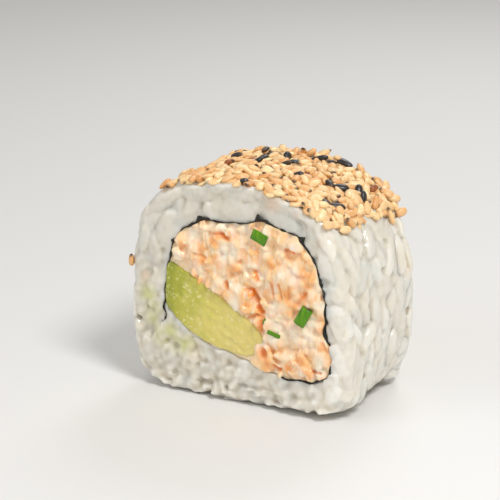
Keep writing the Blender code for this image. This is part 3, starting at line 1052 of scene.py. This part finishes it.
def make_salmon(shader):
    """A core from the filling's outline with lobes of chopped salmon and smaller lumps on it."""
    rng = np.random.default_rng(21)
    core = prism(FILLING, CUT - 0.6)
    form = turned_form(lambda t: np.sqrt(1 - t ** 2), 9, 14)
    spots, radii = lump_places(rng)
    count = len(spots)
    turn = rng.uniform(0, np.pi, count)
    lie = np.stack([np.cos(turn), rng.normal(0, 0.2, count), np.sin(turn)], 1)
    frames = frames_on(np.tile([0.0, -1.0, 0.0], (count, 1)), lie)
    chunks, chunk_faces = scattered(form, 2 * radii, np.zeros(count), frames, spots)
    chunks += 0.15 * np.stack([wobble(chunks, 1.5, seed) for seed in (8, 9, 10)], 1)

    def hidden(points):
        return np.abs(points[:, 1]) < CUT - 4

    verts, edges, faces = fused([core, (chunks, chunk_faces)], SALMON_VOXEL, hidden)
    verts = relaxed(verts, edges, 1)
    verts += vertex_normals(verts, faces) * (0.05 * wobble(verts * (1, 1, 0.5), 0.7, 41))[:, None]
    far, way = stand_out(verts[:, [0, 2]], NORI_FINE, outward(NORI_FINE))
    verts[:, [0, 2]] -= way * np.clip(far + 0.10, 0, 1.5)[:, None]
    front = verts[:, 1] < -CUT + 3
    # The cleft mask paints these dents deeper orange, partly the flesh's own colour and partly painted
    # shade
    cleft = np.zeros(len(verts))
    for x0, z0, x1, z1, half, depth in CLEFTS:
        away = line_distance(verts[:, [0, 2]], np.array([(x0, z0), (x1, z1)]))
        dent = np.exp(-(away / half) ** 2) * front
        verts[:, 1] += depth * dent
        cleft = np.maximum(cleft, dent * min(1, depth * 1.6))
    tree = KDTree(count)
    for i, spot in enumerate(spots):
        tree.insert(spot, i)
    tree.balance()
    own = rng.uniform(size=count)[[tree.find(v)[1] for v in verts]]
    own = relaxed(own[:, None], edges, 3)[:, 0]
    sauce = np.clip(0.18 + 0.45 * wobble(verts, 2.2, 31), 0, 1)
    sauce = np.maximum(sauce * (1 - spots_on_face(verts, ORANGE)), 0.9 * spots_on_face(verts, CREAM))
    orange = spots_on_face(verts, ORANGE) * (1 - 0.5 * spots_on_face(verts, CREAM))
    # hollow paints the salmon's hollows deeper orange, partly its own colour and partly painted shade
    return mesh_object(
        "salmon_mix", verts, faces, shader, hollow=hollows(verts, edges, faces, 18, 0.5),
        tint=np.maximum(own * 0.8, orange), sauce=sauce, cleft=cleft,
    )


def prism(line, y):
    """The closed outline drawn from -y to y, as vertices and faces."""
    count = len(line)
    front = np.stack([line[:, 0], np.full(count, -y), line[:, 1]], 1)
    back = np.stack([line[:, 0], np.full(count, y), line[:, 1]], 1)
    sides = [(i, (i + 1) % count, count + (i + 1) % count, count + i) for i in range(count)]
    ends = [tuple(range(count))[::-1], tuple(range(count, 2 * count))]
    return np.vstack([front, back]), sides + ends


def make_avocado(shader):
    def hidden(points):
        return np.abs(points[:, 1]) < CUT - 3

    verts, edges, faces = fused([prism(AVOCADO, CUT - 0.25)], SALMON_VOXEL, hidden)
    verts = relaxed(verts, edges, 2)
    flat = verts[:, [0, 2]]
    cos, sin = math.cos(AVOCADO_SLANT), math.sin(AVOCADO_SLANT)
    grained = flat @ np.array([(0.25 * cos, sin), (-0.25 * sin, cos)])
    rough = 0.12 * wobble(flat, 4.5, 2) + 0.04 * wobble(grained, 0.9, 14) + 0.04 * wobble(flat, 0.9, 17)
    verts[:, 1] += np.sign(verts[:, 1]) * rough
    verts[:, [0, 2]] += 0.12 * np.stack([wobble(flat, 1.9, 15), wobble(flat, 1.9, 16)], 1)
    along = (flat - AVOCADO_OUTLINE[0]) @ np.array([cos, -sin]) / 22
    ripe = along + 0.07 * wobble(flat, 3.0, 9)
    rim = np.clip(1 - (flat[:, 0] + 15.0) / 2.6, 0, 1)
    return mesh_object("avocado_wedge", verts, faces, shader, ripe=np.clip(ripe - 0.3 * rim, 0, 1))


# Where the nori is thickened outward into the rice as dark wedges: (x, z), half width and height
NORI_WEDGES = (
    (-13.4, 28.3, 1.4, 0.6), (-9.0, 32.2, 1.2, 0.4), (-7.3, 33.2, 1.3, 0.9), (-5.4, 33.2, 1.8, 0.4),
    (4.8, 34.9, 1.0, 1.1), (6.4, 34.5, 1.6, 0.5), (13.3, 32.6, 0.8, 1.1), (18.3, 18.8, 0.9, 0.35),
    (17.9, 16.0, 1.2, 0.2), (19.2, 12.8, 1.4, 0.2), (19.0, 9.4, 1.0, 0.3), (15.4, 7.3, 1.2, 0.2),
    (-14.1, 21.6, 1.0, 0.3), (9.8, 33.8, 1.8, 0.2),
)


def make_nori(shader):
    """The sheet with a torn-looking edge at both cuts, thicker at the listed wedges."""
    line = NORI_FINE
    share = np.linspace(0, 1, len(line))
    way = np.concatenate([[0], np.cumsum(np.linalg.norm(np.diff(line, axis=0), axis=1))])
    half = 0.07 + 0.03 * wobble(line, 1.4, 6) - 0.02 * np.clip(1 - share / 0.12, 0, 1)
    thickening = np.zeros(len(line))
    for x, z, wide, high in NORI_WEDGES:
        at = way[np.hypot(line[:, 0] - x, line[:, 1] - z).argmin()]
        thickening = np.maximum(thickening, high * np.clip(1 - np.abs(way - at) / wide, 0, 1))
    normal = outward(line)
    covered = np.clip((share - 0.80) / 0.02, 0, 1) + 0.6 * np.exp(-((share - 0.645) / 0.008) ** 2)
    edge = CUT - 0.35 + 0.2 * wobble(line, 1.1, 12) + 0.3 * np.minimum(thickening, 1) - 1.6 * covered
    rings = []
    for out, y in ((-1, -1), (1, -1), (1, 0), (1, 1), (-1, 1), (-1, 0)):
        stand = out * (half + (thickening if out > 0 else 0)) * (1 if y else 0.6)
        flat = line + normal * stand[:, None]
        rings.append(np.stack([flat[:, 0], y * edge, flat[:, 1]], 1))
    verts = np.stack(rings, 1).reshape(-1, 3)
    faces = []
    for i in range(len(line) - 1):
        for k in range(6):
            a, b = i * 6 + k, i * 6 + (k + 1) % 6
            faces.append((a, b, b + 6, a + 6))
    last = (len(line) - 1) * 6
    faces += [tuple(range(6))[::-1], tuple(last + k for k in range(6))]
    return mesh_object("nori_sheet", verts, faces, shader)


# --- chives


def chive_tube(length, width, squash, wall):
    """A short length of chive along X: a flattened tube with a hollow down its middle."""
    around, rings = 20, 7
    verts, faces = [], []
    for shell, radius in ((0, 0.5 * width), (1, 0.5 * width - wall)):
        for r in range(rings):
            x = length * (r / (rings - 1) - 0.5)
            for a in range(around):
                turn = 2 * math.pi * a / around
                verts.append((x, radius * math.cos(turn), radius * math.sin(turn) * squash))
    for r in range(rings - 1):
        for a in range(around):
            b = (a + 1) % around
            o = r * around
            i = o + rings * around
            faces.append((o + a, o + b, o + around + b, o + around + a))
            faces.append((i + a, i + around + a, i + around + b, i + b))
    for r, order in ((0, 1), (rings - 1, -1)):
        for a in range(around):
            b = (a + 1) % around
            o = r * around
            i = o + rings * around
            quad = (o + a, i + a, i + b, o + b)
            faces.append(quad[::order])
    return np.array(verts), faces


def make_chives(shader):
    """(x, z), y, turn in the face, length, width, flatness and lean of each piece."""
    pieces = (
        (5.4, 32.2, -13.5, -22, 3.0, 2.1, 0.16, 0.05), (14.4, 19.4, -13.7, 64, 3.3, 2.2, 0.62, 0.2),
        (6.4, 16.8, -13.2, 70, 1.1, 0.9, 0.3, 0.1), (8.3, 14.9, -13.4, -16, 2.5, 0.8, 0.3, 0.1),
        (-6.5, 29.0, 13.4, 40, 3.0, 2.2, 0.5, 0.2), (9.0, 12.0, 13.4, 110, 2.8, 2.0, 0.4, -0.2),
    )
    parts = []
    for x, z, y, turn, length, width, squash, lean in pieces:
        verts, faces = chive_tube(length, width, squash, min(0.3, width * 0.2))
        face_it = Matrix.Rotation(math.radians(90), 3, "X")
        turned = Matrix.Rotation(math.radians(-turn), 3, "Y") @ Matrix.Rotation(lean, 3, "Z") @ face_it
        parts.append((verts @ np.array(turned).T + np.array([x, y, z]), faces))
    return mesh_object("chives", *joined(parts), shader)


# --- stage, light and camera

CAMERA_AZIMUTH, CAMERA_ELEVATION, CAMERA_DISTANCE = 31, 18, 360 * MM
CAMERA_LENS = 143
CAMERA_SHIFT = (-0.045, 0.046)


def make_camera():
    data = bpy.data.cameras.new("camera")
    data.lens = CAMERA_LENS
    data.sensor_width = 36
    data.shift_x, data.shift_y = CAMERA_SHIFT
    data.clip_start = 0.01
    camera = placed("camera", data)
    az, el = math.radians(CAMERA_AZIMUTH), math.radians(CAMERA_ELEVATION)
    back = Vector((math.sin(az) * math.cos(el), -math.cos(az) * math.cos(el), math.sin(el)))
    target = Vector((0, 0, AXIS_HEIGHT * MM))
    camera.location = target + back * CAMERA_DISTANCE
    camera.rotation_euler = back.to_track_quat("Z", "Y").to_euler()
    bpy.context.scene.camera = camera


def add_area(name, place, size, power):
    """A soft lamp at a place in millimetres that faces the roll."""
    data = bpy.data.lights.new(name, "AREA")
    data.shape = "DISK"
    data.size = size * MM
    data.energy = power
    lamp = placed(name, data)
    lamp.location = Vector(place) * MM
    to = Vector((0, 0, AXIS_HEIGHT * MM)) - lamp.location
    lamp.rotation_euler = to.to_track_quat("-Z", "Y").to_euler()


def make_stage():
    """A pale floor, pale surroundings, and three soft lamps."""
    made, tree, shader = material("floor", Roughness=0.7)
    shader.inputs["Base Color"].default_value = (0.78, 0.77, 0.75, 1)
    mesh = bpy.data.meshes.new("floor")
    corners = [(-3, -3, 0), (3, -3, 0), (3, 3, 0), (-3, 3, 0)]  # metres
    mesh.from_pydata(corners, [], [(0, 1, 2, 3)])
    mesh.materials.append(made)
    placed("floor", mesh)
    world = bpy.data.worlds.new("studio")
    bpy.context.scene.world = world
    world.use_nodes = True
    background = world.node_tree.nodes["Background"]
    background.inputs["Color"].default_value = (1.0, 0.99, 0.97, 1)
    background.inputs["Strength"].default_value = 0.42
    add_area("key", (230, -120, 330), 130, 1.1)
    add_area("fill", (-260, -320, 200), 300, 0.42)
    add_area("back", (-60, 300, 300), 200, 0.4)


def main():
    rice = make_rice(rice_material())
    skin = surface_of(rice)
    tan = seed_material("toasted_sesame", linear(252, 222, 170), linear(214, 144, 70),
                        linear(150, 84, 46), linear(70, 38, 18), 0.40)
    black = seed_material("black_sesame", linear(46, 42, 42), linear(22, 19, 18),
                          linear(60, 46, 38), linear(90, 70, 50), 0.36)
    grains = make_loose_grains(rice.active_material, skin)
    sesame, black_sesame = make_seeds(skin, (tan, black))
    salmon = make_salmon(salmon_material())
    avocado = make_avocado(avocado_material())
    nori = make_nori(nori_material())
    chives = make_chives(chive_material())
    own_nodes = ((rice, "rice"), (salmon, "salmon"), (avocado, "avocado"), (nori, "nori"))
    for piece, node in own_nodes:
        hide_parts(node)
    for piece, slot in own_nodes + ((grains, "rice"), (sesame, "sesame"),
                                    (black_sesame, "black_sesame"), (chives, "chive")):
        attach(piece, "root")
    make_stage()
    make_camera()
    bpy.context.scene.view_settings.view_transform = "Standard"


main()
